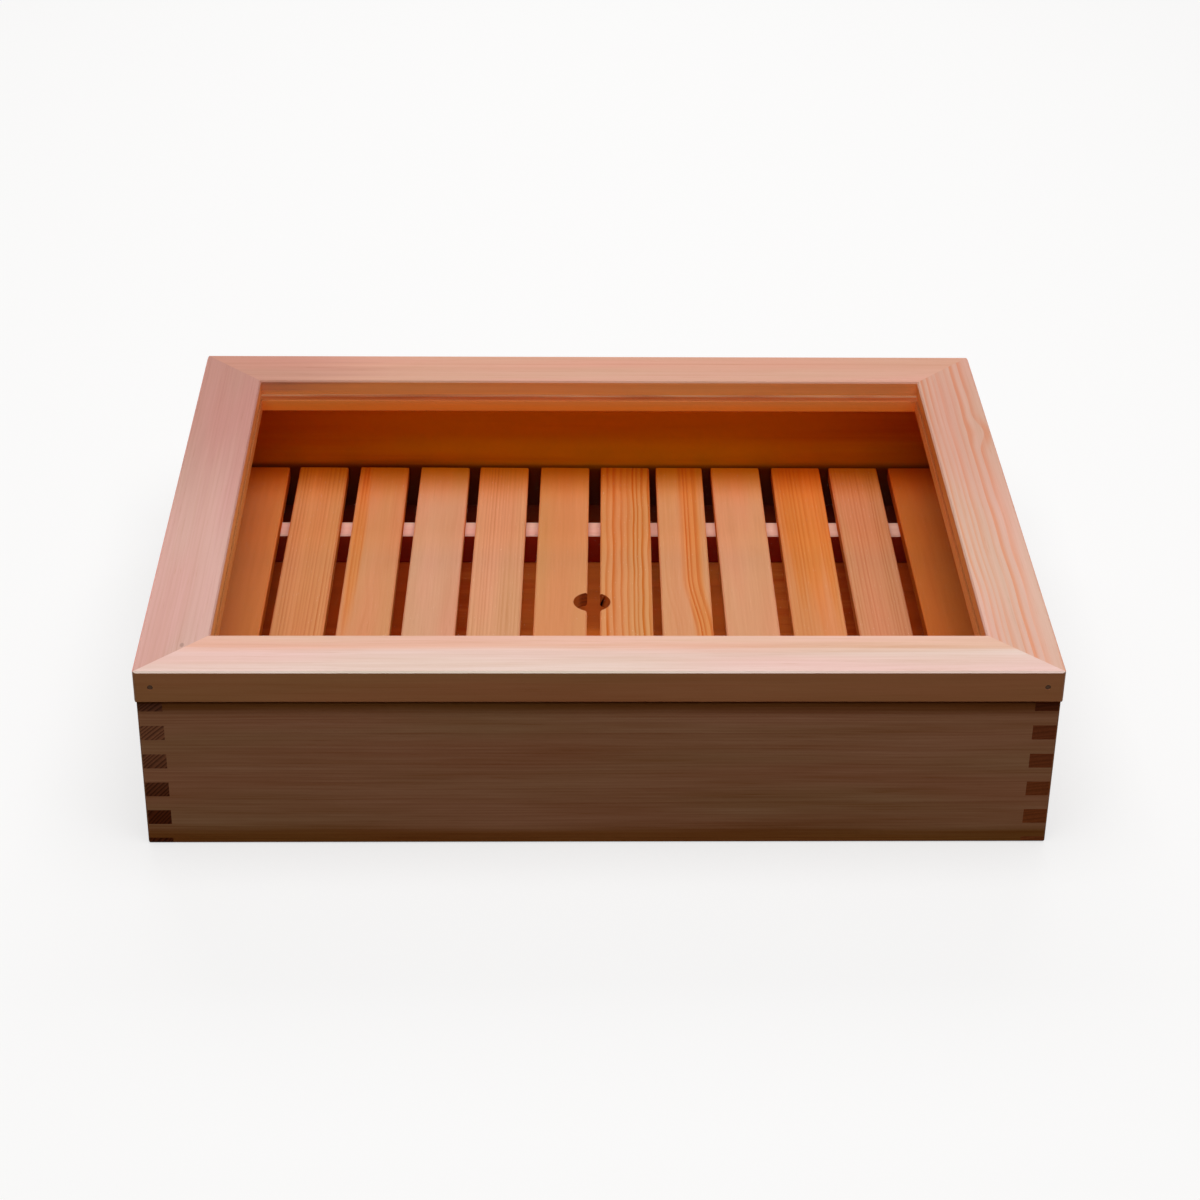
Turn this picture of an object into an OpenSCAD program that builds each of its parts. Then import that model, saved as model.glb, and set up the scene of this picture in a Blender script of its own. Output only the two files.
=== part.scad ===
// Shallow wooden topping box: a finger-jointed case with a let-in base, a loose
// tray of slats on two battens, and a mitred lift-off lid round a clear pane.
// The origin is the middle of the underside: X runs along the long walls,
// Y to the back, Z up. The case carries the tray, and its walls carry the lid.

/* [Case] */
// Outside width of the case, along its long walls
case_w = 328.6; // [240:0.2:400]
// Outside depth of the case, along its short walls
case_d = 255.6; // [200:0.2:320]
// Height of the walls
wall_h = 61.4; // [45:0.2:90]
// Thickness of the walls
wall_t = 9; // [7:0.5:12]
// Height of one finger of the corner joints
finger_h = 6.1; // [4:0.1:12]
// Height of the lowest finger, which the bottom edge cuts short
first_finger_h = 2.5; // [1:0.1:4]
// Width of the small flat planed along every edge of the wood
arris = 0.6; // [0.3:0.1:1]

/* [Base] */
// Thickness of the base panel
base_t = 5.5; // [4:0.5:8]
// Height of the base panel's underside above the table
base_lift = 0.5; // [0.2:0.1:1.5]
// Depth of the rebate that lets the base panel into each wall
base_rebate = 4.5; // [3:0.5:5]
// Gap between the base panel's edges and its rebate
base_gap = 0.3; // [0.1:0.1:0.6]

/* [Tray] */
// Number of slats
slat_n = 12; // [8:1:16]
// Thickness of the slats
slat_t = 6; // [5:0.5:9]
// Even gap between two slats
slat_gap = 4.8; // [2:0.2:7]
// Gap between the outermost slats and the short walls
tray_side_gap = 1.9; // [1.5:0.1:3]
// Gap between the ends of the slats and the long walls
tray_end_gap = 0.8; // [0.5:0.1:2]
// Width of the battens under the slats
batten_w = 11.5; // [9:0.5:20]
// Height of the battens
batten_h = 13.5; // [8:0.5:18]
// Distance of the battens from the ends of the slats
batten_inset = 39; // [20:1:60]
// Distance of the battens' ends from the sides of the tray
batten_end_inset = 3; // [1:0.5:6]
// Diameter of the finger hole that the tray is lifted by
finger_hole_d = 15; // [12:0.5:20]
// Distance of the finger hole to the right of the middle of the tray
finger_hole_x = -0.4; // [-2:0.2:2]
// Distance of the finger hole behind the middle of the tray
finger_hole_y = 2; // [-20:1:20]

/* [Lid] */
// Width of the lid's rails
rail_w = 25; // [20:0.5:35]
// Thickness of the lid's rails
rail_t = 14.5; // [13:0.5:20]
// Distance by which the lid stands out past the walls
lid_overhang = 0.7; // [0.2:0.1:2]
// Radius of the lid's four corners in plan
lid_corner_r = 1.6; // [1:0.2:4]
// Depth of the rebate that seats the lid on the walls
seat_depth = 1.5; // [1:0.5:3]
// Gap between the lid's lip and the walls' inner faces
lip_gap = 0.7; // [0.3:0.1:1.2]
// Depth of the pane's upper face below the top of the lid
pane_drop = 6.4; // [4:0.2:8]
// Thickness of the clear pane
pane_t = 3; // [2:0.5:4]
// Depth of the grooves that hold the pane
groove_depth = 5; // [4:0.5:7]
// Gap above the pane in its grooves
pane_play = 0.2; // [0.1:0.1:0.4]
// Gap between the pane's edges and the floors of its grooves
pane_edge_gap = 0.8; // [0.4:0.1:0.9]

/* [Brads and nails] */
// Diameter of the brads that pin the lid's mitres
brad_d = 1.2; // [0.8:0.1:1.8]
// Diameter of the brads' heads
brad_head_d = 2; // [1.6:0.1:2.6]
// Length of the brads
brad_l = 20; // [14:1:30]
// Distance of the brads from the lid's sides
brad_inset = 6.1; // [5:0.1:9]
// Depth of the brads' heads below the face of the wood
brad_set = 0.3; // [0.1:0.1:0.8]
// Diameter of the nails that hold the slats from below
nail_d = 1.4; // [1:0.1:2]
// Diameter of the nails' heads
nail_head_d = 3; // [2.4:0.1:3.6]
// Depth to which the nails go into the slats
nail_bite = 3.5; // [2:0.5:4.5]

/* [Hidden] */
$fn = 48;

// How far a cutter runs past the face that it opens
cut = 1;
// Height of the brads' and nails' heads
head_t = 0.6;
// Length of a brad's or nail's point
point_l = 1.5;
// Diameter left at the tip of a brad's or nail's point
tip_d = 0.4;
// How each slat was set by hand: its shift to the right and the wood planed off
// its width, both as shares of the even gap, and its lean to the right in degrees
slat_set = [
    [0.05, 0, 0.5], [-0.1, 0, 0.7], [-0.05, 0, 0.9], [-0.05, 0, 1.2],
    [-0.1, 0, 1.3], [0, 0, 1.4], [0.1, 0, 1.3], [-0.25, 0.2, 1],
    [-0.3, 0, 0.5], [-0.15, 0, 0.5], [-0.15, 0, 0.2], [0.05, 0, -0.1]];

base_top = base_lift + base_t;

tray_w = case_w - 2 * (wall_t + tray_side_gap);
tray_d = case_d - 2 * (wall_t + tray_end_gap);
slat_z = base_top + batten_h;
slat_w = (tray_w - (slat_n - 1) * slat_gap) / slat_n;
batten_y = tray_d / 2 - batten_inset - batten_w / 2;
nail_l = batten_h + nail_bite;

lid_w = case_w + 2 * lid_overhang;
lid_d = case_d + 2 * lid_overhang;
lid_z = wall_h - seat_depth;
seat_w = lid_overhang + wall_t + lip_gap;
groove_z = rail_t - pane_drop - pane_t;
pane_reach = groove_depth - pane_edge_gap;
brad_z = (wall_h + lid_z + rail_t) / 2;

// Shift, planing and lean of slat i
function set_of(i) = i <= len(slat_set) ? slat_set[i - 1] : [0, 0, 0];

// Carries its children to the middle of slat i, in line with the slat
module at_slat(i) {
    even_x = (i - (slat_n + 1) / 2) * (slat_w + slat_gap);
    translate([even_x + slat_gap * set_of(i)[0], 0, 0]) rotate([0, 0, -set_of(i)[2]])
        children();
}

// Outline with a small flat on each corner; its low corner is at the origin
module eased_rect(w, h) {
    polygon([[arris, 0], [w - arris, 0], [w, arris], [w, h - arris],
             [w - arris, h], [arris, h], [0, h - arris], [0, arris]]);
}

// Block with a small flat along each edge, centred on X and Y and standing on Z
module eased_block(w, d, h) {
    translate([-w / 2, -d / 2, 0]) intersection() {
        linear_extrude(h) eased_rect(w, d);
        translate([0, d, 0]) rotate([90, 0, 0]) linear_extrude(d) eased_rect(w, h);
        rotate([90, 0, 90]) linear_extrude(w) eased_rect(d, h);
    }
}

// Nail or brad that points up, with its head's underside side down at the origin
module wire_nail(l, d, head_d) {
    cylinder(h = head_t, d = head_d);
    cylinder(h = l - point_l, d = d);
    translate([0, 0, l - point_l]) cylinder(h = point_l, d1 = d, d2 = tip_d);
}

// Every second course of fingers in the front left corner, from first_z up.
// over_x and over_y run the courses past the wall that they are cut from.
module finger_courses(first_z, over_x, over_y) {
    for (z = [first_z : 2 * finger_h : wall_h])
        translate([-case_w / 2 - cut, -case_d / 2 - cut, z])
            cube([cut + wall_t + over_x, cut + wall_t + over_y, finger_h]);
}

// Room for the base panel in the lower inside edge of the four walls
module base_rebate_space() {
    w = case_w - 2 * (wall_t - base_rebate);
    d = case_d - 2 * (wall_t - base_rebate);
    translate([-w / 2, -d / 2, -cut]) cube([w, d, cut + base_top]);
}

// Front wall, notched at both ends for the short walls' fingers
module long_wall() {
    color([0.79, 0.58, 0.42]) difference() {
        intersection() {
            eased_block(case_w, case_d, wall_h);
            translate([-case_w / 2, -case_d / 2, 0]) cube([case_w, wall_t, wall_h]);
        }
        for (side = [0, 1]) mirror([side, 0, 0])
            finger_courses(first_finger_h - finger_h, 0, cut);
        base_rebate_space();
    }
}

// Left wall, notched at both ends for the long walls' fingers
module short_wall() {
    color([0.72, 0.5, 0.35]) difference() {
        intersection() {
            eased_block(case_w, case_d, wall_h);
            translate([-case_w / 2, -case_d / 2, 0]) cube([wall_t, case_d, wall_h]);
        }
        for (side = [0, 1]) mirror([0, side, 0])
            finger_courses(first_finger_h, cut, 0);
        base_rebate_space();
    }
}

// Panel glued up into the rebate of the walls, just clear of the table
module base_panel() {
    let_in = base_rebate - base_gap;
    w = case_w - 2 * (wall_t - let_in);
    d = case_d - 2 * (wall_t - let_in);
    color([0.76, 0.56, 0.4])
        translate([-w / 2, -d / 2, base_lift]) cube([w, d, base_t]);
}

// All the nails of the tray, driven up through the battens into the slats
module tray_nails() {
    color("gainsboro")
        for (i = [1:slat_n], side = [-1, 1])
            at_slat(i) translate([0, side * batten_y, base_top])
                wire_nail(nail_l, nail_d, nail_head_d);
}

// Batten that carries the slats: side is -1 at the front and 1 at the back
module batten(side) {
    color([0.88, 0.72, 0.56]) difference() {
        translate([0, side * batten_y, base_top])
            eased_block(tray_w - 2 * batten_end_inset, batten_w, batten_h);
        tray_nails();
    }
}

// Hole for a fingertip, half of it in each of the two middle slats
module finger_hole() {
    translate([finger_hole_x, finger_hole_y, slat_z - cut])
        cylinder(h = slat_t + 2 * cut, d = finger_hole_d);
}

// Slat i, counted from the left
module slat(i) {
    color([0.84, 0.6, 0.4]) difference() {
        at_slat(i) translate([0, 0, slat_z])
            eased_block(slat_w - slat_gap * set_of(i)[1], tray_d, slat_t);
        finger_hole();
        tray_nails();
    }
}

// Section of a rail, from its outer face inwards and up from its lip
module rail_section() {
    groove_floor = rail_w - groove_depth;
    groove_top = groove_z + pane_t + pane_play;
    polygon([
        [seat_w, 0], [rail_w - arris, 0], [rail_w, arris],
        [rail_w, groove_z], [groove_floor, groove_z],
        [groove_floor, groove_top], [rail_w, groove_top],
        [rail_w, rail_t - arris], [rail_w - arris, rail_t],
        [arris, rail_t], [0, rail_t - arris],
        [0, seat_depth + arris], [arris, seat_depth], [seat_w, seat_depth]]);
}

// Plan of a rail of length l: mitred ends and rounded outer corners
module rail_plan(l) {
    intersection() {
        polygon([[-l / 2, 0], [l / 2, 0], [l / 2 - rail_w, rail_w], [rail_w - l / 2, rail_w]]);
        union() {
            translate([lid_corner_r - l / 2, 0]) square([l - 2 * lid_corner_r, rail_w]);
            translate([-l / 2, lid_corner_r]) square([l, rail_w]);
            for (side = [-1, 1])
                translate([side * (l / 2 - lid_corner_r), lid_corner_r]) circle(r = lid_corner_r);
        }
    }
}

// The four brads that pin the mitres, two driven from the front and two from the
// back; setting is how far the head's hole runs out past the head
module brads(setting) {
    for (turn = [0, 180], side = [-1, 1])
        rotate([0, 0, turn])
            translate([side * (lid_w / 2 - brad_inset), brad_set - lid_d / 2, brad_z])
                rotate([-90, 0, 0]) {
                    wire_nail(brad_l, brad_d, brad_head_d);
                    translate([0, 0, -setting]) cylinder(h = setting + head_t, d = brad_head_d);
                }
}

// Rail of the lid, of length l, whose middle lies away from the lid's centre at
// the front before it is turned by turn degrees
module lid_rail(l, away, turn) {
    color([0.9, 0.74, 0.6]) difference() {
        rotate([0, 0, turn]) translate([0, -away, lid_z]) intersection() {
            translate([-l / 2, 0, 0]) rotate([90, 0, 90]) linear_extrude(l) rail_section();
            linear_extrude(rail_t) rail_plan(l);
        }
        brads(brad_set + cut);
    }
}

// Clear pane, held in the grooves of the four rails
module lid_pane() {
    w = lid_w - 2 * (rail_w - pane_reach);
    d = lid_d - 2 * (rail_w - pane_reach);
    color([0.85, 0.93, 0.96, 0.35])
        translate([-w / 2, -d / 2, lid_z + groove_z]) cube([w, d, pane_t]);
}

// The brads of the lid by themselves
module lid_brads() {
    color("dimgray") brads(0);
}

long_wall();  // front_wall
mirror([0, 1, 0]) long_wall();  // back_wall
short_wall();  // left_wall
mirror([1, 0, 0]) short_wall();  // right_wall
base_panel();
batten(-1);  // front_batten
batten(1);  // rear_batten
for (i = [1:slat_n]) slat(i);
tray_nails();
lid_rail(lid_w, lid_d / 2, 0);  // lid_front_rail
lid_rail(lid_w, lid_d / 2, 180);  // lid_back_rail
lid_rail(lid_d, lid_w / 2, -90);  // lid_left_rail
lid_rail(lid_d, lid_w / 2, 90);  // lid_right_rail
lid_pane();
lid_brads();
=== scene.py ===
# %% [markdown]
# A wooden box for sushi toppings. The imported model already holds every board, slat, nail and
# brad at its real size, so this lesson shapes nothing new but a floor. It gives each board the
# grain of its own plank, makes the pane clear and the steel dull, lights the box and sets up the
# camera.
# All lengths are in metres, apart from the grain of the wood, which is easier to think of in mm.

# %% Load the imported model
import math

import bmesh
import bpy
from mathutils import Euler, Matrix, Vector


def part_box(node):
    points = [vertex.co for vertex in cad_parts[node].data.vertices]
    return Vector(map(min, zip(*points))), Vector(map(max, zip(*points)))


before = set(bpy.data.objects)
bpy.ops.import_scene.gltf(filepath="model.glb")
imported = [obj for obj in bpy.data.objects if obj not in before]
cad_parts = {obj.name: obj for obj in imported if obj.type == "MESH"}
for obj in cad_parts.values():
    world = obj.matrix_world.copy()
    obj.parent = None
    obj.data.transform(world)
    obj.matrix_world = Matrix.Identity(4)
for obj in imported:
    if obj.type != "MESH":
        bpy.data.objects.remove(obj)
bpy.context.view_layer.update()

# %% [markdown]
# The camera stands in front of the box and looks down at it at about thirty degrees, a little
# from the left. Its place and turn were worked out from the straight edges of the box in the
# photograph, so they are set as numbers. A Track To constraint would be simpler, but it can't
# give the slight roll that the photograph has.

# %% Set up the camera
PHOTO_PIXELS = 1200
FOCAL_PIXELS = 2689.6
SENSOR_MM = 36
FARTHEST_SEEN = 50
CAMERA_PLACE = Vector((-0.0227, -0.9304, 0.5803))
PITCH_DOWN, TURN, ROLL = 0.5359, -0.0274, 0.0145

camera_data = bpy.data.cameras.new("camera")
camera_data.sensor_width = SENSOR_MM
camera_data.lens = FOCAL_PIXELS / PHOTO_PIXELS * SENSOR_MM
camera_data.clip_end = FARTHEST_SEEN
camera = bpy.data.objects.new("camera", camera_data)
camera.matrix_world = (
    Matrix.Translation(CAMERA_PLACE)
    @ Matrix.Rotation(TURN, 4, "Z")
    @ Matrix.Rotation(math.pi / 2 - PITCH_DOWN, 4, "X")
    @ Matrix.Rotation(ROLL, 4, "Z")
)
bpy.context.scene.collection.objects.link(camera)
bpy.context.scene.camera = camera
bpy.context.scene.view_settings.view_transform = "Standard"
print("lens in mm:", round(camera_data.lens, 2))

# %% [markdown]
# Every material below is a small graph of nodes. These helpers add one node, set its
# properties and fill its sockets with numbers or with the outputs of other nodes, so that a
# graph reads like a list of steps. A Mix node has sockets for numbers, vectors and colours one
# after the other, so its colour sockets are named here by their places.

# %% Helpers for colours and nodes
WHITE = (1, 1, 1, 1)
MIX_FIRST, MIX_SECOND, MIX_RESULT = 6, 7, 2


def paint(red, green, blue):
    """Linear colour of an everyday 0 to 255 colour."""
    parts = [channel / 255 for channel in (red, green, blue)]
    return [p / 12.92 if p <= 0.04045 else ((p + 0.055) / 1.055) ** 2.4 for p in parts] + [1]


def add(tree, kind, sockets=None, **settings):
    """Adds a node, and fills its sockets by name or number."""
    made = tree.nodes.new("ShaderNode" + kind)
    for name, value in settings.items():
        setattr(made, name, value)
    for name, value in (sockets or {}).items():
        if isinstance(value, bpy.types.NodeSocket):
            tree.links.new(value, made.inputs[name])
        else:
            made.inputs[name].default_value = value
    return made


def calc(tree, operation, *values, clamp=False):
    """Output of a Math node."""
    made = add(tree, "Math", dict(enumerate(values)), operation=operation, use_clamp=clamp)
    return made.outputs[0]


def vector_calc(tree, operation, *values):
    """Output of a Vector Math node."""
    made = add(tree, "VectorMath", dict(enumerate(values)), operation=operation)
    return made.outputs["Value" if operation in ("LENGTH", "DOT_PRODUCT") else "Vector"]


def ease(tree, value, start, end, low=0.0, high=1.0):
    """Smooth step of value, from low at start to high at end."""
    made = add(tree, "MapRange", {"Value": value, "From Min": start, "From Max": end,
                                  "To Min": low, "To Max": high},
               interpolation_type="SMOOTHSTEP")
    return made.outputs["Result"]


def mix(tree, share, first, second):
    """Mixes two colours, share being how much of the second is seen."""
    made = add(tree, "Mix", {"Factor": share}, data_type="RGBA")
    for place, value in ((MIX_FIRST, first), (MIX_SECOND, second)):
        if isinstance(value, bpy.types.NodeSocket):
            tree.links.new(value, made.inputs[place])
        else:
            made.inputs[place].default_value = value
    return made.outputs[MIX_RESULT]


def seen_directly(tree):
    """1 for rays of the camera and for those that meet it by a gloss or a clear pane."""
    rays = add(tree, "LightPath").outputs
    bright = calc(tree, "MAXIMUM", rays["Is Camera Ray"], rays["Is Glossy Ray"])
    return calc(tree, "MAXIMUM", bright, rays["Is Transmission Ray"])


def new_look(name):
    """A material, and its empty tree of nodes."""
    look = bpy.data.materials.new(name)
    look.use_nodes = True
    look.node_tree.nodes.clear()
    return look, look.node_tree


def dress(look, *node_names):
    """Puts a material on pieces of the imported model."""
    for node_name in node_names:
        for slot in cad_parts[node_name].material_slots:
            slot.material = look


print("helpers ready")

# %% [markdown]
# Two large soft lamps light the box. One hangs overhead and does most of the work, so that the
# tops are bright, the slats are lit to their ends and the front is in its own shade. The other
# stands low behind the box, as a window would. It lights little, and the planed tops of the lid
# mirror it faintly to the camera; most of their paleness is a painted sheen in their colour. A sun
# would light as evenly, but its gloss would be a spot.

# %% The two lamps
LAMPS = {
    # name: place, width, depth and watts
    "overhead_light": (Vector((0.03, -0.24, 1.50)), 1.6, 1.4, 22),
    "window_light": (Vector((0.0, 1.25, 1.00)), 1.6, 0.5, 9),
}

for name, (place, width, depth, watts) in LAMPS.items():
    lamp_data = bpy.data.lights.new(name, "AREA")
    lamp_data.shape = "RECTANGLE"
    lamp_data.size, lamp_data.size_y = width, depth
    lamp_data.energy = watts
    lamp = bpy.data.objects.new(name, lamp_data)
    aim = (-place).to_track_quat("-Z", "Y").to_matrix().to_4x4()
    lamp.matrix_world = Matrix.Translation(place) @ aim
    bpy.context.scene.collection.objects.link(lamp)
    print(name, "aims down by", round(math.degrees(math.asin(place.z / place.length))), "degrees")

# %% [markdown]
# The camera sees a white studio, but the room that lights the box is a dim warm one, which is
# why the front looks so much darker than the top. The world is therefore white for the rays
# that are seen, also in gloss and through the pane, and dim for those that only light things.

# %% A studio that looks white and lights the box dimly
ROOM_LIGHT = (1.0, 0.78, 0.58, 1)
ROOM_STRENGTH = 0.07

world = bpy.data.worlds.new("studio")
world.use_nodes = True
world.node_tree.nodes.clear()
room = world.node_tree
dim = add(room, "Background", {"Color": ROOM_LIGHT, "Strength": ROOM_STRENGTH})
white = add(room, "Background", {"Color": WHITE, "Strength": 1})
both = add(room, "MixShader", {0: seen_directly(room), 1: dim.outputs[0], 2: white.outputs[0]})
add(room, "OutputWorld", {"Surface": both.outputs[0]})
bpy.context.scene.world = world
print("world strength for lighting:", ROOM_STRENGTH)

# %% [markdown]
# The floor is one plain sheet under the box, for which a grid of a single face is enough. It is
# pale to the camera and keeps the shadow of the box, but it throws back only a little warm light,
# as a dark table would, so the front of the box stays brown. Part of its white is its own glow
# for the camera alone, so the shadow stays a soft grey.

# %% The pale floor
FLOOR_SIDE = 8
FLOOR_DROP = 0.0001
FLOOR_GLOW = 0.65
SEEN_FLOOR, THROWN_BACK = (0.93, 0.93, 0.93, 1), (0.10, 0.07, 0.05, 1)

sheet = bmesh.new()
bmesh.ops.create_grid(sheet, x_segments=1, y_segments=1, size=FLOOR_SIDE / 2)
bmesh.ops.translate(sheet, vec=(0, 0, -FLOOR_DROP), verts=sheet.verts)
floor_mesh = bpy.data.meshes.new("floor")
sheet.to_mesh(floor_mesh)
sheet.free()
floor = bpy.data.objects.new("floor", floor_mesh)
bpy.context.scene.collection.objects.link(floor)

floor_look, tree = new_look("pale_floor")
colour = mix(tree, seen_directly(tree), THROWN_BACK, SEEN_FLOOR)
matt = add(tree, "BsdfDiffuse", {"Color": colour})
glow = add(tree, "Emission", {"Color": WHITE, "Strength": 1})
glow_share = calc(tree, "MULTIPLY", add(tree, "LightPath").outputs["Is Camera Ray"], FLOOR_GLOW)
both = add(tree, "MixShader", {0: glow_share, 1: matt.outputs[0], 2: glow.outputs[0]})
add(tree, "OutputMaterial", {"Surface": both.outputs[0]})
floor_mesh.materials.append(floor_look)
print("floor side in metres:", FLOOR_SIDE, "faces:", len(floor_mesh.polygons))

# %% [markdown]
# Wood is a solid pattern, not a picture glued on a face. A plank is cut from a trunk whose
# yearly rings lie round the pith. If a point's distance from the pith is divided by the width
# of a ring, the whole number is the year and the rest tells how late in the year the wood
# grew: it darkens slowly towards the end of the year and is pale again at once. Because the
# pattern is solid, lines on a face, flames on a flat-sawn board and rings on an end all agree.
# The group takes a place in mm: X along the grain, Y and Z across the plank.

# %% The sockets of the wood group
WOOD_SOCKETS = [
    ("Place", "Vector", (0, 0, 0)),
    # how much the face is an end, looks up, or looks into the box, and how far back it is
    ("End Grain", "Float", 0.0), ("Upward", "Float", 0.0), ("Inward", "Float", 0.0),
    ("Depth", "Float", 0.0),
    # colours of the sides, the top with its painted sheen, the inner face with its painted bounce
    # light, and the patch, and what lines and the painted highlight on arrises do to them
    ("Wood", "Color", paint(200, 145, 105)), ("Top", "Color", paint(215, 170, 145)),
    ("Inner", "Color", paint(200, 145, 105)), ("Patch", "Color", paint(215, 150, 100)),
    ("Line Tint", "Vector", (0.8, 0.6, 0.5)), ("Arris Tint", "Vector", (1, 1, 1)),
    # the yearly rings
    ("Pith", "Vector", (0, 0, -150)), ("Ring", "Float", 2.0), ("Contrast", "Float", 0.5),
    ("Wave", "Float", 0.6), ("Wave Length", "Float", 60.0), ("Fibre", "Float", 1.0),
    ("Blotches", "Float", 0.0),
    # a patch of deeper colour, a knot that the lines bend round, and edges changed by painted
    # light and shade
    ("Patch Place", "Vector", (0, 0, 0)), ("Patch Size", "Vector", (50, 5, 50)),
    ("Patch Strength", "Float", 0.0), ("Patch Lines", "Float", 0.0),
    ("Knot Place", "Vector", (0, 0, 0)), ("Knot Size", "Vector", (10, 5, 10)),
    ("Knot Push", "Float", 0.0), ("Knot Dark", "Float", 0.0),
    ("Edge Middle", "Float", 0.0), ("Edge Start", "Float", 1000.0),
    ("Edge Tint", "Vector", (1, 1, 1)),
    # on the inner face, a tint of painted light above the middle of the board and one of painted
    # shade below a level
    ("Inner High", "Vector", (1, 1, 1)), ("Inner Foot", "Float", -1000.0),
    ("Foot Tint", "Vector", (1, 1, 1)),
    # slow changes of painted light and shade towards the back of the box, and from low to high on
    # a board's end
    ("Far Start", "Float", 0.0), ("Far End", "Float", 100.0), ("Far Tint", "Vector", (1, 1, 1)),
    ("Rear Start", "Float", 0.0), ("Rear End", "Float", 100.0),
    ("Rear Tint", "Vector", (1, 1, 1)),
    ("End Low", "Vector", (1, 1, 1)), ("End High", "Vector", (1, 1, 1)),
    ("Dullness", "Float", 0.42), ("Seed", "Float", 0.0),
]

wood = bpy.data.node_groups.new("solid_wood", "ShaderNodeTree")
for name, kind, usual in WOOD_SOCKETS:
    made = wood.interface.new_socket(name, in_out="INPUT", socket_type="NodeSocket" + kind)
    made.default_value = usual
for name, kind in (("Color", "Color"), ("Roughness", "Float"), ("Height", "Float")):
    wood.interface.new_socket(name, in_out="OUTPUT", socket_type="NodeSocket" + kind)
given = wood.nodes.new("NodeGroupInput").outputs
print("sockets of the wood group:", len(WOOD_SOCKETS))

# %% [markdown]
# All the irregularity comes from noise that is stretched along the grain, with spots that are
# so many mm long, wide and deep. Each board adds its own seed, so no two boards are alike. A
# noise lies around 0.5 and rarely leaves 0.3 to 0.7, so that range is what a smooth step needs.

# %% Stretched noise
SEED_STEP = (131.0, 37.0, 53.0)
NOISE_MEAN, NOISE_RANGE = 0.5, (0.3, 0.7)

seeded = vector_calc(wood, "ADD", given["Place"],
                     vector_calc(wood, "MULTIPLY", given["Seed"], SEED_STEP))


def streaks(length, width, detail):
    """Noise whose spots are length mm along the grain and width mm across it."""
    scaled = vector_calc(wood, "MULTIPLY", seeded, (1 / length, 1 / width, 1 / width))
    made = add(wood, "TexNoise", {"Vector": scaled, "Scale": 1.0, "Detail": detail,
                                  "Roughness": 0.55})
    return made.outputs[0]


def around_zero(noise):
    """Noise that goes as far below zero as above it."""
    return calc(wood, "SUBTRACT", noise, NOISE_MEAN)


fine = streaks(30, 0.5, 3)
soft = streaks(150, 3.5, 2)
broad = streaks(300, 14, 1)
print("noise ready")

# %% [markdown]
# A trunk isn't a perfect cone, so the place is first pushed sideways by a slow noise, which
# makes the lines wander, and by a knot, which they bend round. The ring's width changes from
# year to year, and some years leave a bold dark line and others hardly any.

# %% Wandering yearly rings
FASTER_ACROSS = (1.0, 2.2, 2.2)
WANDER_MM = (0.0, 4.0, 4.0)
ACROSS = (0, 1, 1)
KNOT_REACH = 1.6
GOOD_YEARS, CHANGE_OF_WEATHER = 1.6, 0.31
LATE_FROM, LATE_FULL, YEAR_END = 0.25, 0.9, 1.0
FAINTEST_LINE = 0.35

slow = vector_calc(wood, "MULTIPLY", seeded, FASTER_ACROSS)
slow = vector_calc(wood, "DIVIDE", slow, given["Wave Length"])
drift = add(wood, "TexNoise", {"Vector": slow, "Scale": 1.0, "Detail": 1.5, "Roughness": 0.45})
push = vector_calc(wood, "SUBTRACT", drift.outputs[1], (NOISE_MEAN, NOISE_MEAN, NOISE_MEAN))
push = vector_calc(wood, "MULTIPLY", push, WANDER_MM)
push = vector_calc(wood, "MULTIPLY", push, given["Wave"])
wandered = vector_calc(wood, "ADD", given["Place"], push)

from_knot = vector_calc(wood, "SUBTRACT", given["Place"], given["Knot Place"])
from_knot = vector_calc(wood, "LENGTH", vector_calc(wood, "DIVIDE", from_knot, given["Knot Size"]))
bend = calc(wood, "MULTIPLY", ease(wood, from_knot, KNOT_REACH, 0.0), given["Knot Push"])
wandered = vector_calc(wood, "ADD", wandered, vector_calc(wood, "MULTIPLY", bend, (0, 1, 0)))

from_pith = vector_calc(wood, "SUBTRACT", wandered, given["Pith"])
from_pith = vector_calc(wood, "LENGTH", vector_calc(wood, "MULTIPLY", from_pith, ACROSS))
years = calc(wood, "DIVIDE", from_pith, given["Ring"])
weather = calc(wood, "MULTIPLY_ADD", years, CHANGE_OF_WEATHER, given["Seed"])
growth = add(wood, "TexNoise", {"W": weather, "Scale": 1.0, "Detail": 1.0}, noise_dimensions="1D")
years = calc(wood, "MULTIPLY_ADD", growth.outputs[0], GOOD_YEARS, years)
which_year = calc(wood, "ADD", calc(wood, "FLOOR", years), given["Seed"])
year = add(wood, "TexWhiteNoise", {"W": which_year}, noise_dimensions="1D")
in_year = calc(wood, "FRACT", years)
late = calc(wood, "MULTIPLY", ease(wood, in_year, LATE_FROM, LATE_FULL),
            ease(wood, in_year, YEAR_END, LATE_FULL))
boldness = calc(wood, "MULTIPLY_ADD", year.outputs[0], 1 - FAINTEST_LINE, FAINTEST_LINE)
print("rings ready")

# %% [markdown]
# A board has a colour for each way that its faces look. Its sides have the plain colour of the
# wood. Its planed top is paler, partly a painted sheen of the light. The face that looks into the
# box is a deep orange in the photograph, more than the light that other wood throws on it gives
# here, so it has a deeper colour, which is painted bounce light; above the middle it may get a
# tint of painted light from above the pane. The rails' grooves have ledges that look up as well,
# but they belong to the inner face and are darker, painted shade in the groove, so the colour of
# the top starts a little above the middle of the board.
# One material with a share for each direction is simpler than a material for each face, and it
# keeps the grain in one piece round the corners.

# %% A colour for each way a face looks
FACES_UP, FACES_IN = (0.3, 0.65), (0.75, 0.95)
TOP_FROM, TOP_FULL = 1.0, 3.0
# painted shade: the ledges in the rails' grooves are darker than the inner face
LEDGE_SHADE_TINT = (0.8, 0.68, 0.8)

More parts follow.
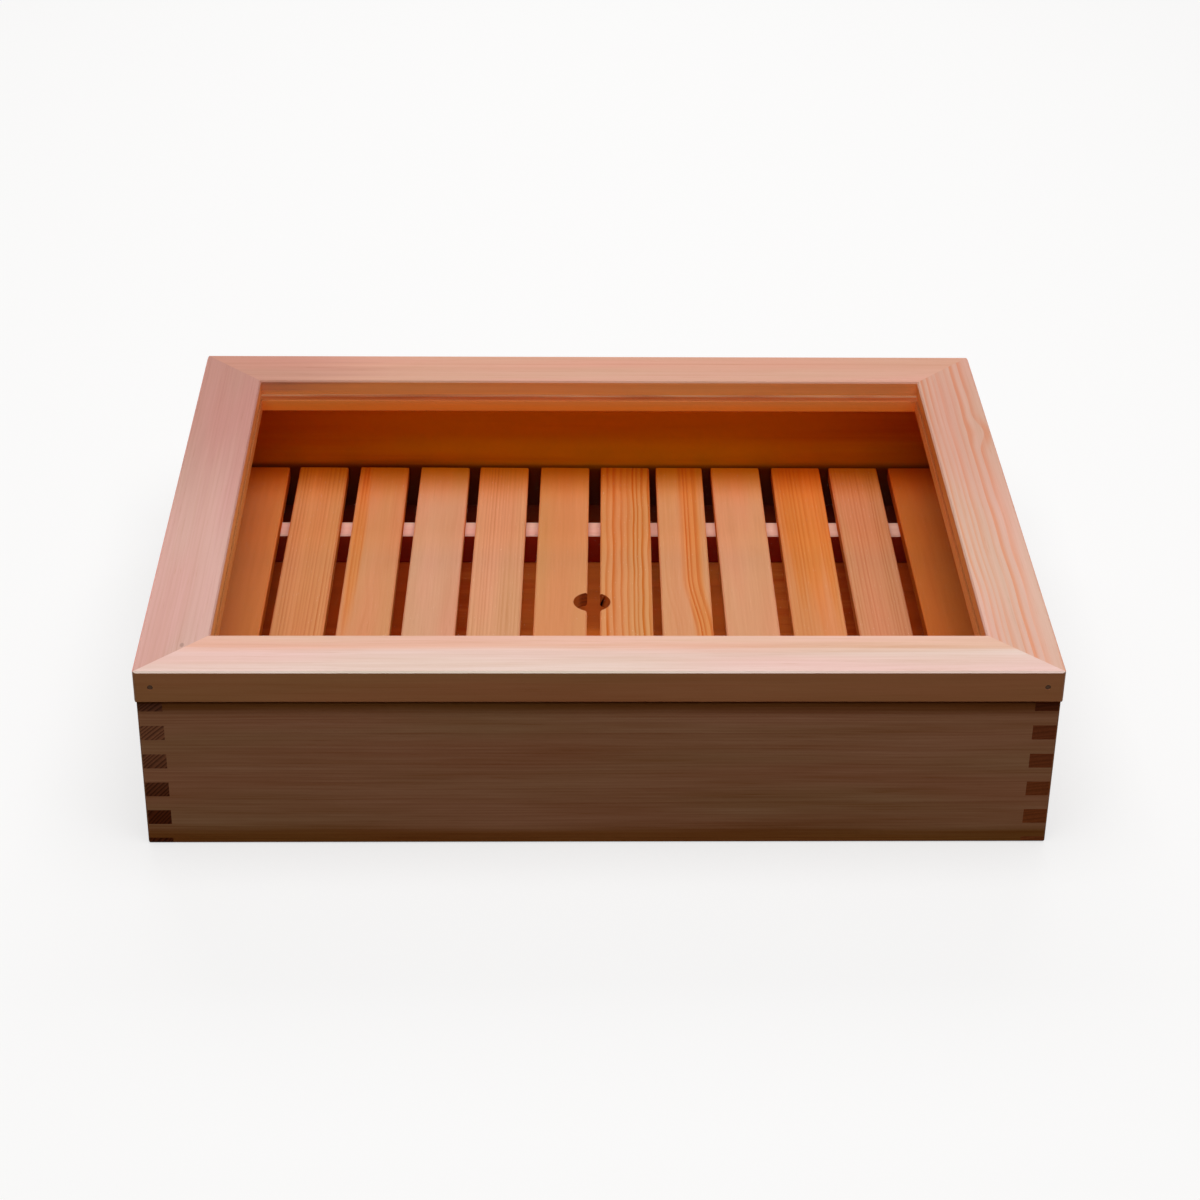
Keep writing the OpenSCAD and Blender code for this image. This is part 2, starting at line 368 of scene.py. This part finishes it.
above = add(wood, "SeparateXYZ", {0: given["Place"]}).outputs[2]
faces_up = ease(wood, given["Upward"], *FACES_UP)
top_share = calc(wood, "MULTIPLY", faces_up, ease(wood, above, TOP_FROM, TOP_FULL))
shaded_ledge_share = calc(wood, "SUBTRACT", faces_up, top_share)
inner_share = ease(wood, given["Inward"], *FACES_IN)
# painted bounce light: the inner face's deep orange, and its tint above the middle, painted light
# from above the pane
inner_high = mix(wood, ease(wood, above, 0.0, TOP_FULL), WHITE, given["Inner High"])
inner = vector_calc(wood, "MULTIPLY", given["Inner"], inner_high)
shaded_ledge = vector_calc(wood, "MULTIPLY", given["Inner"], LEDGE_SHADE_TINT)
colour = mix(wood, top_share, given["Wood"], given["Top"])
colour = mix(wood, inner_share, colour, inner)
colour = mix(wood, shaded_ledge_share, colour, shaded_ledge)
print("faces ready")

# %% [markdown]
# A board may have one patch of deeper colour, long and narrow, with an uneven rim, such as a
# streak of heartwood, where the rings may be bolder too. On some boards the patch carries painted
# light and shade instead: the paler front of the side rails, the lighter middle of the base, the
# yellower middle of the back wall's inner face and the browner foot of the walls. The eased edges
# between a side and the top catch the light, so they get a tint of their own, a painted highlight.
# They are found by their direction, which lies halfway between level and upright.

# %% A patch of heartwood, and painted highlights on the arrises
PATCH_RIM, PATCH_FULL, UNEVEN_RIM = 1.25, 0.55, 0.9
HALFWAY_UP = math.sqrt(0.5)
ARRIS_RIM, ARRIS_FULL = 0.14, 0.04
ARRIS_OUTSIDE = (0.6, 0.3)

uneven = calc(wood, "MULTIPLY", around_zero(soft), UNEVEN_RIM)
inside = vector_calc(wood, "SUBTRACT", wandered, given["Patch Place"])
inside = vector_calc(wood, "LENGTH", vector_calc(wood, "DIVIDE", inside, given["Patch Size"]))
inside = ease(wood, calc(wood, "ADD", inside, uneven), PATCH_RIM, PATCH_FULL)
patch_share = calc(wood, "MULTIPLY", inside, given["Patch Strength"], clamp=True)
colour = mix(wood, patch_share, colour, given["Patch"])

# painted highlight on the eased arrises, where they catch the light
from_arris = calc(wood, "ABSOLUTE", calc(wood, "SUBTRACT", given["Upward"], HALFWAY_UP))
arris_highlight_share = calc(wood, "MULTIPLY", ease(wood, from_arris, ARRIS_RIM, ARRIS_FULL),
                  ease(wood, given["Inward"], *ARRIS_OUTSIDE))
arris_highlight = vector_calc(wood, "MULTIPLY", colour, given["Arris Tint"])
colour = mix(wood, arris_highlight_share, colour, arris_highlight)
print("patch and arrises ready")

# %% [markdown]
# Over the colour lie the lines of the rings, which are bolder in some places than in others.
# Between them the wood has fine fibres, short darker strokes where resin ran, broad soft bands
# of tone, and on some boards blotches. Where the tone is darker it is also more orange, as wood
# is, so blue changes most. Very slowly the hue drifts as well, between rosy and olive.

# %% Ring lines, fibres and tone
FAINT_LINES, BOLD_LINES = 0.45, 1.15
RARE, STROKE_SHARE = (0.66, 0.78), -0.12
TONE_SHARES = ((fine, 0.26), (soft, 0.2), (broad, 0.2))
TONE_OF_CHANNELS = (0.6, 1.0, 1.5)
ROSY, OLIVE = (1.03, 0.97, 0.98, 1), (0.97, 1.03, 0.98, 1)

bold = calc(wood, "MULTIPLY_ADD", patch_share, given["Patch Lines"], given["Contrast"])
patchy = ease(wood, streaks(110, 5, 1), *NOISE_RANGE, FAINT_LINES, BOLD_LINES)
bold = calc(wood, "MULTIPLY", bold, patchy)
line = calc(wood, "MULTIPLY", calc(wood, "MULTIPLY", late, boldness), bold, clamp=True)
colour = vector_calc(wood, "MULTIPLY", colour, mix(wood, line, WHITE, given["Line Tint"]))

stroke = ease(wood, streaks(16, 0.5, 1), *RARE)
tone = calc(wood, "MULTIPLY", stroke, STROKE_SHARE)
for noise, share in TONE_SHARES:
    tone = calc(wood, "MULTIPLY_ADD", around_zero(noise), share, tone)
tone = calc(wood, "MULTIPLY", tone, given["Fibre"])
blotch = around_zero(streaks(55, 2.6, 3))
tone = calc(wood, "MULTIPLY_ADD", blotch, given["Blotches"], tone)
tone = vector_calc(wood, "ADD", vector_calc(wood, "MULTIPLY", tone, TONE_OF_CHANNELS), (1, 1, 1))
colour = vector_calc(wood, "MULTIPLY", colour, tone)
hue_drift = ease(wood, streaks(120, 16, 1), *NOISE_RANGE)
colour = vector_calc(wood, "MULTIPLY", colour, mix(wood, hue_drift, ROSY, OLIVE))
print("lines and tone ready")

# %% [markdown]
# Along its top and bottom edges a board may be darker, painted shade under the lid and near the
# floor, and the foot of a wall's inner face is darker too, painted shade of the tray. In the
# photograph some of that is stain and some is shade, and the two can't be told apart, so these
# tints follow what is seen. A knot has a dark core. Last come two slow changes with the distance
# behind the middle of the box, one after the other. They are painted light and shade, and they
# make up for how the light of the real room fell off, which two lamps alone don't match.

# %% Painted light and shade at the edges, knots and slow changes
# painted shade along the top and bottom edges and at the foot of the inner face; on the back rail
# the lower edge is painted bounce light
PAINTED_EDGE_WAVER, PAINTED_EDGE_FADE = 3.0, 5.0
CORE_RIM, CORE_FULL = 0.55, 0.25
KNOT_CORE = (0.10, 0.04, 0.02, 1)

level = add(wood, "SeparateXYZ", {0: wandered}).outputs[2]
beyond = calc(wood, "ABSOLUTE", calc(wood, "SUBTRACT", level, given["Edge Middle"]))
beyond = calc(wood, "SUBTRACT", beyond, given["Edge Start"])
below = calc(wood, "SUBTRACT", given["Inner Foot"], level)
painted_edge_share, foot_shade_share = (
    ease(wood, calc(wood, "MULTIPLY_ADD", soft, PAINTED_EDGE_WAVER, distance), 0.0, PAINTED_EDGE_FADE)
    for distance in (beyond, below))
foot_shade_share = calc(wood, "MULTIPLY", foot_shade_share, inner_share)
for share, tint in ((painted_edge_share, "Edge Tint"), (foot_shade_share, "Foot Tint")):
    colour = mix(wood, share, colour, vector_calc(wood, "MULTIPLY", colour, given[tint]))

core = calc(wood, "MULTIPLY", ease(wood, from_knot, CORE_RIM, CORE_FULL), given["Knot Dark"])
colour = mix(wood, core, colour, KNOT_CORE)
# painted light and shade that change slowly towards the back of the box
for stretch in ("Far", "Rear"):
    how_far = ease(wood, given["Depth"], given[stretch + " Start"], given[stretch + " End"])
    change = mix(wood, how_far, WHITE, given[stretch + " Tint"])
    colour = vector_calc(wood, "MULTIPLY", colour, change)
print("long faces ready")

# %% [markdown]
# Where the saw cut across the fibres, their open ends drink in light and oil: the end of a board
# is much darker and redder, and its rings stand out. The shader knows such a face by its
# direction, which the board hands in as a share from 0 to 1. An end may change from its low edge
# to its high one, and close under the lid the ends of the tall walls are darkest, a painted shade
# that is deeper than the lamps make it.
# The fine fibres and the lines leave the group as a height too, for a bump, and as a roughness.

# %% The colour of the ends, and what leaves the group
END_TINT = (0.60, 0.38, 0.29)
LID_SHADE_ON_ENDS = (0.54, 0.50, 0.52, 1)
LOW_MM, HIGH_MM = -20.0, 20.0
LID_FROM, LID_FULL = 24.0, 28.0
RING_DARKENS = -1.2
PORE_SHARE, PORE_LEAST = 0.5, 0.75
FACES_ALONG = (0.6, 0.9)
ROUGH_FIBRES, SMOOTH_LATE_WOOD = 0.16, -0.06
LINE_HEIGHT = 0.5

pores = add(wood, "TexNoise", {"Vector": given["Place"], "Scale": 1.6, "Detail": 2.0})
end_line = calc(wood, "MULTIPLY", late, given["Contrast"])
end_tone = calc(wood, "MULTIPLY", calc(wood, "MULTIPLY_ADD", end_line, RING_DARKENS, 1.0),
                calc(wood, "MULTIPLY_ADD", pores.outputs[0], PORE_SHARE, PORE_LEAST))
rise = mix(wood, ease(wood, above, LOW_MM, HIGH_MM), given["End Low"], given["End High"])
# painted shade close under the lid on the ends of the tall walls
shade = mix(wood, ease(wood, above, LID_FROM, LID_FULL), WHITE, LID_SHADE_ON_ENDS)
end_colour = vector_calc(wood, "MULTIPLY", given["Wood"], END_TINT)
for change in (end_tone, rise, shade):
    end_colour = vector_calc(wood, "MULTIPLY", end_colour, change)
colour = mix(wood, ease(wood, given["End Grain"], *FACES_ALONG), colour, end_colour)

roughness = calc(wood, "MULTIPLY_ADD", fine, ROUGH_FIBRES, given["Dullness"])
roughness = calc(wood, "MULTIPLY_ADD", late, SMOOTH_LATE_WOOD, roughness)
height = calc(wood, "MULTIPLY_ADD", line, LINE_HEIGHT, fine)
leaving = wood.nodes.new("NodeGroupOutput")
for name, value in (("Color", colour), ("Roughness", roughness), ("Height", height)):
    wood.links.new(value, leaving.inputs[name])
print("nodes in the wood group:", len(wood.nodes))

# %% [markdown]
# Each board now gets a material of its own: a Mapping node lays the pattern's X along that
# board and puts the pattern's origin in the middle of the board, and the group's sockets say
# how that plank was sawn. Depth is the distance behind the middle of the box, in mm. Which way
# a face looks comes from its normal. The gloss is set on the shader itself: planed wood without
# lacquer has very little, and the tray and most of the walls show none.

# %% A material for one board
MM = 1000
RELIEF, RELIEF_DEPTH = 0.35, 0.00006


def saw(node_name, along, lean=0.0, gloss=0.1, inner_side=0, **plank):
    """Gives a board its wood. along is the axis of its grain, lean its turn in degrees, and
    inner_side is 1 or -1 where its face at that end of the pattern's Y looks into the box.
    The other arguments are sockets of the wood group, in small letters."""
    low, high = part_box(node_name)
    turn = math.radians(lean) + (math.pi / 2 if along == "y" else 0)
    middle = Matrix.Rotation(turn, 3, "Z") @ ((low + high) / 2 * MM)
    grain = Vector((math.cos(turn), -math.sin(turn), 0))
    inwards = Vector((math.sin(turn), math.cos(turn), 0)) * inner_side
    look, tree = new_look(node_name + "_wood")
    spot = add(tree, "TexCoord").outputs
    place = add(tree, "Mapping", {"Vector": spot["Object"], "Location": -middle,
                                  "Rotation": Euler((0, 0, turn)), "Scale": (MM, MM, MM)})
    behind = add(tree, "SeparateXYZ", {0: spot["Object"]}).outputs[1]
    facing = spot["Normal"]
    sockets = {
        "Place": place.outputs[0],
        "End Grain": calc(tree, "ABSOLUTE", vector_calc(tree, "DOT_PRODUCT", facing, grain)),
        "Upward": add(tree, "SeparateXYZ", {0: facing}).outputs[2],
        "Inward": vector_calc(tree, "DOT_PRODUCT", facing, inwards),
        "Depth": calc(tree, "MULTIPLY", behind, MM),
        "Top": plank["wood"], "Inner": plank["wood"],
    }
    sockets.update({name.replace("_", " ").title(): value for name, value in plank.items()})
    group = tree.nodes.new("ShaderNodeGroup")
    group.node_tree = wood
    for name, value in sockets.items():
        if isinstance(value, bpy.types.NodeSocket):
            tree.links.new(value, group.inputs[name])
        else:
            group.inputs[name].default_value = value
    relief = add(tree, "Bump", {"Height": group.outputs["Height"], "Strength": RELIEF,
                                "Distance": RELIEF_DEPTH})
    shader = add(tree, "BsdfPrincipled", {
        "Base Color": group.outputs["Color"], "Roughness": group.outputs["Roughness"],
        "Normal": relief.outputs[0], "Specular IOR Level": gloss})
    add(tree, "OutputMaterial", {"Surface": shader.outputs[0]})
    dress(look, node_name)


print("ready to saw boards")

# %% [markdown]
# The lid's rails are planed, and their tops are the palest wood of the box, partly a painted sheen
# of the light. The right rail is sawn flat, with the pith below its outer edge, so its lines are
# wide apart outside, crowd together inwards and bend round a small knot. The others are sawn
# nearly upright and show straight, quiet lines; the left one has a tiny dark knot near its front
# corner. The side rails are paler at the front, painted light that falls off towards the back, and
# the back rail is darker at its left end. Faces inside the opening are a deep orange, painted
# bounce light, and on the back and left rails the part above the pane is pinker, painted light
# from above the pane. Below the pane the back rail is a deeper orange, painted bounce light, and
# the arrises of all four carry a painted highlight.

# %% The lid's rails
PLANED = dict(gloss=0.1, dullness=0.28)
# the tops' colours are partly a painted sheen, and the arris tints are painted highlights
saw("lid_front_rail", "x", wood=paint(196, 133, 88), top=paint(224, 190, 180),
    line_tint=(0.96, 0.85, 0.75), pith=(0, 60, -190), ring=3.2, contrast=0.5,
    wave=0.8, wave_length=140.0, blotches=0.3, patch=paint(221, 169, 145), patch_place=(0, 9, 7),
    patch_size=(400, 7, 20), patch_strength=0.8, patch_lines=0.4,
    arris_tint=(1.28, 1.5, 1.5), seed=1.0, **PLANED)
# inner and inner_high are painted bounce light and painted light above the pane; the edge tint is
# painted bounce light below it
saw("lid_back_rail", "x", wood=paint(214, 150, 100), top=paint(208, 153, 131),
    inner=paint(246, 166, 92), inner_high=(1.0, 1.03, 1.3), inner_side=-1,
    line_tint=(0.88, 0.72, 0.6), arris_tint=(1.3, 1.1, 1.05), pith=(0, 120, -90), ring=2.4,
    contrast=0.5, wave=0.4, wave_length=200.0,
    far_start=112.0, far_end=120.0, far_tint=(0.99, 0.94, 0.9),
    patch=paint(190, 131, 113), patch_place=(-165, 9, 10), patch_size=(75, 40, 8),
    patch_strength=0.9, edge_middle=20.0, edge_start=22.5, edge_tint=(1.04, 0.77, 0.4),
    seed=2.0, **PLANED)
# side rails: the front patch and the far tint are painted light that falls off towards the back;
# the inner colour is painted bounce light
saw("lid_left_rail", "y", wood=paint(202, 140, 92), top=paint(188, 134, 122),
    inner=paint(236, 156, 84), inner_high=(1.2, 1.35, 1.7), inner_side=1,
    line_tint=(0.85, 0.72, 0.68), arris_tint=(1.6, 1.38, 1.35), pith=(0, -170, 30), ring=1.7,
    contrast=0.5, wave=0.5, wave_length=90.0,
    far_start=-60.0, far_end=120.0, far_tint=(0.91, 0.82, 0.78),
    patch=paint(203, 156, 144), patch_place=(90, 0, 8), patch_size=(130, 40, 2.2),
    patch_strength=1.0, knot_place=(110.4, 3.2, 7), knot_size=(3.4, 1.8, 6), knot_push=0.6,
    knot_dark=0.4, seed=3.0, **PLANED)
# as on the left rail, the front patch and far tint are painted light, the inner colour painted
# bounce light
saw("lid_right_rail", "y", wood=paint(204, 142, 92), top=paint(208, 161, 142),
    inner=paint(236, 156, 84), inner_side=-1, line_tint=(0.99, 0.64, 0.41),
    arris_tint=(1.3, 1.12, 1.05), pith=(0, 18, -23), ring=1.6, contrast=1.4, wave=0.5,
    wave_length=75.0,
    far_start=-80.0, far_end=80.0, far_tint=(0.92, 0.84, 0.8),
    patch=paint(213, 168, 150), patch_place=(90, 0, 8), patch_size=(130, 40, 2.2),
    patch_strength=1.0, knot_place=(-57, 12, 7), knot_size=(14, 7, 20), knot_push=-4.0,
    seed=4.0, **PLANED)
print("rails sawn")

# %% [markdown]
# The walls are sawn upright, so the front shows fine level lines and their ends show the rings at
# a slant, which is the hatching on the fingers of the corner joints. All four share their deep
# orange inner face, painted bounce light, which is darkest at its foot, painted shade of the tray,
# and their darker edges, painted shade under the lid and near the floor. Three are browner near
# the table as well, painted shade. The inner face of the back wall is yellower in its middle,
# painted bounce light.

# %% The walls of the case
# painted bounce light on the inner face, painted shade at its foot and along the edges under the
# lid and near the floor
WALL = dict(inner=paint(207, 113, 0), inner_foot=-3.5, foot_tint=(0.25, 0.1, 0.05),
            edge_middle=-3.0, edge_start=28.5, edge_tint=(0.49, 0.38, 0.18))
# painted shade near the table
TABLE_SHADE_FOOT = dict(patch=paint(155, 98, 47), patch_place=(0, 0, -31), patch_size=(400, 400, 8),
                 patch_strength=1.0)
saw("front_wall", "x", wood=paint(187, 135, 100), line_tint=(0.73, 0.55, 0.45), inner_side=1,
    gloss=0.06, pith=(0, 40, -190), ring=1.5, contrast=0.5, wave=0.8, wave_length=110.0,
    fibre=2.0, blotches=0.6, seed=5.0, **WALL, **TABLE_SHADE_FOOT)
# the back wall's yellower patch in the middle of its inner face is painted bounce light
saw("back_wall", "x", wood=paint(190, 138, 101), line_tint=(0.73, 0.55, 0.45), inner_side=-1,
    gloss=0.0, pith=(0, 40, -190), ring=1.5, contrast=0.15, wave=0.5, wave_length=150.0,
    patch=paint(228, 144, 0), patch_place=(0, -4.5, 15), patch_size=(140, 2, 22),
    patch_strength=1.0, seed=6.0, **WALL)
saw("left_wall", "y", wood=paint(196, 148, 112), line_tint=(0.64, 0.43, 0.34), inner_side=1,
    gloss=0.0, pith=(0, 120, -120), ring=1.3, contrast=0.5, wave=0.4, wave_length=120.0,
    end_low=(0.5, 0.34, 0.28), end_high=(1.26, 1.5, 1.85), seed=7.0, **WALL, **TABLE_SHADE_FOOT)
saw("right_wall", "y", wood=paint(212, 144, 96), line_tint=(0.73, 0.55, 0.45), inner_side=-1,
    gloss=0.0, pith=(0, 20, -160), ring=1.6, contrast=0.2, wave=0.4, wave_length=120.0,
    end_low=(0.92, 0.95, 0.9), end_high=(0.76, 0.78, 0.92), seed=8.0, **WALL, **TABLE_SHADE_FOOT)
print("walls sawn")

# %% [markdown]
# The base and the battens are hardly seen, but they give the gaps their colour. As seen in the
# gaps, the battens have pale tops and dark sides, painted light on the tops and painted shade on
# the sides. The base is a deep red brown, lighter in the middle, painted light through the gaps,
# and nearly black at the back, painted shade.

# %% The base and the battens
# the lighter middle patch is painted light through the gaps, and the dark far tint is painted
# shade at the back
saw("base_panel", "x", wood=paint(200, 79, 24), line_tint=(0.71, 0.56, 0.43), gloss=0.0,
    pith=(0, 30, -90), ring=2.6, contrast=0.6, wave=1.0, wave_length=90.0,
    patch=paint(230, 120, 49), patch_place=(25, 0, 0), patch_size=(75, 300, 20),
    patch_strength=1.0, far_start=72.0, far_end=98.0, far_tint=(0.3, 0.15, 0.15), seed=9.0)
# the pale top is painted light through the gaps, the dark red sides are painted shade
for number, name in enumerate(("front_batten", "rear_batten")):
    saw(name, "x", wood=paint(172, 48, 18), top=paint(236, 188, 171),
        line_tint=(0.85, 0.67, 0.57), gloss=0.0,
        pith=(0, 60, -60), ring=2.0, contrast=0.5, seed=10.0 + number)
print("base and battens sawn")

# %% [markdown]
# The twelve slats come from different planks, and each is set by hand with its own lean. The table
# says how each was sawn: quiet slats are upright, the seventh is flat-sawn with wavy lines, and
# the eighth, tenth and third carry a streak of deeper orange. Their sides are a deeper orange than
# their tops, painted shade and bounce light in the gaps, and their arrises carry a painted
# highlight. Towards the back they first grow paler, painted light, and then more orange, painted
# shade under the back of the lid.

# %% The slats of the tray
QUIET = dict(pith=(0, 0, -170), ring=1.6, contrast=0.35, wave=0.4, wave_length=120.0)
STRIPED = dict(pith=(0, 150, -10), ring=1.5, contrast=0.7, wave=0.4, wave_length=110.0)
FLAT_SAWN = dict(pith=(0, 45, -25), ring=2.2, contrast=1.3, wave=0.5, wave_length=38.0)
# painted shade and bounce light on the slats' sides in the gaps
SIDE_SHADE_AND_BOUNCE = (1.1, 0.75, 0.35, 1)
# the far tint is painted light, the rear tint painted shade under the back of the lid, the arris
# tint a painted highlight
ALL_SLATS = dict(gloss=0.0, arris_tint=(1.15, 1.1, 1.1),
                 far_start=32.0, far_end=62.0, far_tint=(1.19, 1.11, 1.0),
                 rear_start=78.0, rear_end=120.0, rear_tint=(0.94, 0.55, 0.0))
FIRST_SLAT_SEED = 21.0
SLATS = [
    # lean, colour, what the lines do to it, how it is sawn, and what is special
    (0.5, (209, 126, 70), (0.8, 0.56, 0.37), QUIET, {}),
    (0.7, (208, 139, 92), (0.76, 0.5, 0.34), STRIPED, {}),
    (0.9, (208, 144, 102), (0.8, 0.47, 0.26), QUIET,
     dict(pith=(0, 60, -30), ring=1.5, contrast=0.15, patch=paint(212, 130, 70),
          patch_place=(-50, -7.5, 0), patch_size=(80, 2.8, 20), patch_strength=0.8,
          patch_lines=0.8, knot_place=(0, 3, 3), knot_size=(25, 5, 20), knot_push=-3.0)),
    (1.2, (210, 154, 123), (0.86, 0.67, 0.5), QUIET, {}),
    (1.3, (214, 154, 117), (0.8, 0.62, 0.48), STRIPED, {}),
    (1.4, (208, 142, 95), (0.86, 0.66, 0.48), QUIET, {}),
    (1.3, (213, 147, 97), (0.84, 0.48, 0.18), FLAT_SAWN, {}),
    (1.0, (210, 150, 107), (0.81, 0.42, 0.17), QUIET,
     dict(pith=(0, 45, -25), ring=2.0, contrast=0.15, patch=paint(212, 136, 76),
          patch_place=(-20, 3.5, 0), patch_size=(250, 4.5, 20), patch_strength=0.9,
          patch_lines=1.0, knot_place=(25, 4, 3), knot_size=(30, 30, 30), knot_push=-4.0)),
    (0.5, (215, 153, 117), (0.84, 0.67, 0.52), QUIET, {}),
    (0.5, (210, 140, 92), (0.87, 0.54, 0.26), QUIET,
     dict(pith=(0, 60, -30), contrast=0.3, patch=paint(216, 126, 58), patch_place=(-80, 2, 0),
          patch_size=(85, 14, 20), patch_strength=0.8, patch_lines=0.3)),
    (0.2, (204, 139, 101), (0.82, 0.55, 0.39), STRIPED, {}),
    (-0.1, (201, 112, 52), (0.82, 0.62, 0.47), QUIET, {}),
]
for number, (lean, colour, line_tint, sawn, special) in enumerate(SLATS):
    top = paint(*colour)
    sides = [channel * tint for channel, tint in zip(top, SIDE_SHADE_AND_BOUNCE)]
    plank = {**ALL_SLATS, **sawn, "wood": sides, "top": top, "line_tint": line_tint, **special}
    saw(f"slat_{number + 1}", "y", lean=lean, seed=FIRST_SLAT_SEED + number, **plank)
print("slats sawn:", len(SLATS))

# %% [markdown]
# The pane is clear plastic in the rails' grooves. Light has to reach the slats through it, so
# it is clear by its alpha, not by refraction. Its flat faces get a veil where they are seen
# very much aslant, as any sheet does. Its back rim, inside the groove, shows as a wavering pale
# line. It is made milky and glows a little, which stands for the light that runs along inside a
# sheet and comes out at its rim.

# %% The clear pane
CLEAR, MILK = (0.03, 0.04, 0.05, 1), (0.56, 0.50, 0.54, 1)
VEIL, VEIL_POWER, LEAST_SEEN = 0.5, 10.0, 0.001
FLAT_FACES = (0.8, 0.95)
MILKY_FROM, MILKY_TO = 0.1046, 0.1050
WAVER = (30, 200, 900)
THIN_MILK, THICK_MILK = 0.25, 0.55
DARK, GLOW, GLOW_STRENGTH = (0, 0, 0, 1), (1.0, 0.59, 0.30, 1), 0.43

pane_look, tree = new_look("clear_pane_look")
spot = add(tree, "TexCoord").outputs
slope = add(tree, "LayerWeight", {"Blend": 0.5}).outputs["Facing"]
level = calc(tree, "ABSOLUTE", add(tree, "SeparateXYZ", {0: spot["Normal"]}).outputs[2])
veil = calc(tree, "MULTIPLY", calc(tree, "POWER", slope, VEIL_POWER),
            ease(tree, level, *FLAT_FACES))
clearness = calc(tree, "MULTIPLY_ADD", veil, VEIL, LEAST_SEEN)

behind = add(tree, "SeparateXYZ", {0: spot["Object"]}).outputs[1]
rim = ease(tree, behind, MILKY_FROM, MILKY_TO)
waver = add(tree, "TexNoise", {"Vector": vector_calc(tree, "MULTIPLY", spot["Object"], WAVER),
                               "Scale": 1.0, "Detail": 2.0}).outputs[0]
thickness = ease(tree, waver, *NOISE_RANGE, THIN_MILK, THICK_MILK)
milk = calc(tree, "MULTIPLY", rim, thickness)
shader = add(tree, "BsdfPrincipled", {
    "Base Color": mix(tree, rim, CLEAR, MILK), "Roughness": 0.06, "IOR": 1.49,
    "Alpha": calc(tree, "MAXIMUM", clearness, milk),
    "Emission Color": mix(tree, rim, DARK, GLOW), "Emission Strength": GLOW_STRENGTH})
add(tree, "OutputMaterial", {"Surface": shader.outputs[0]})
dress(pane_look, "lid_pane")
print("pane ready")

# %% [markdown]
# The brads show as dark dots, so they and the nails are made of steel wire that has gone brown.
# Small spots of a noise are darker and smoother than the rest.

# %% The steel
DARK_RUST, PALE_RUST = (0.08, 0.042, 0.024, 1), (0.16, 0.088, 0.05, 1)
SPOTS_PER_METRE = 900.0
SMOOTHEST, ROUGHER = 0.6, 0.25

steel, tree = new_look("browned_steel")
spot = add(tree, "TexCoord").outputs["Object"]
dull = add(tree, "TexNoise", {"Vector": spot, "Scale": SPOTS_PER_METRE, "Detail": 2.0}).outputs[0]
shader = add(tree, "BsdfPrincipled", {
    "Base Color": mix(tree, dull, DARK_RUST, PALE_RUST), "Metallic": 0.6,
    "Specular IOR Level": 0.2, "Roughness": calc(tree, "MULTIPLY_ADD", dull, ROUGHER, SMOOTHEST)})
add(tree, "OutputMaterial", {"Surface": shader.outputs[0]})
dress(steel, "lid_brads", "tray_nails")
print("steel ready")
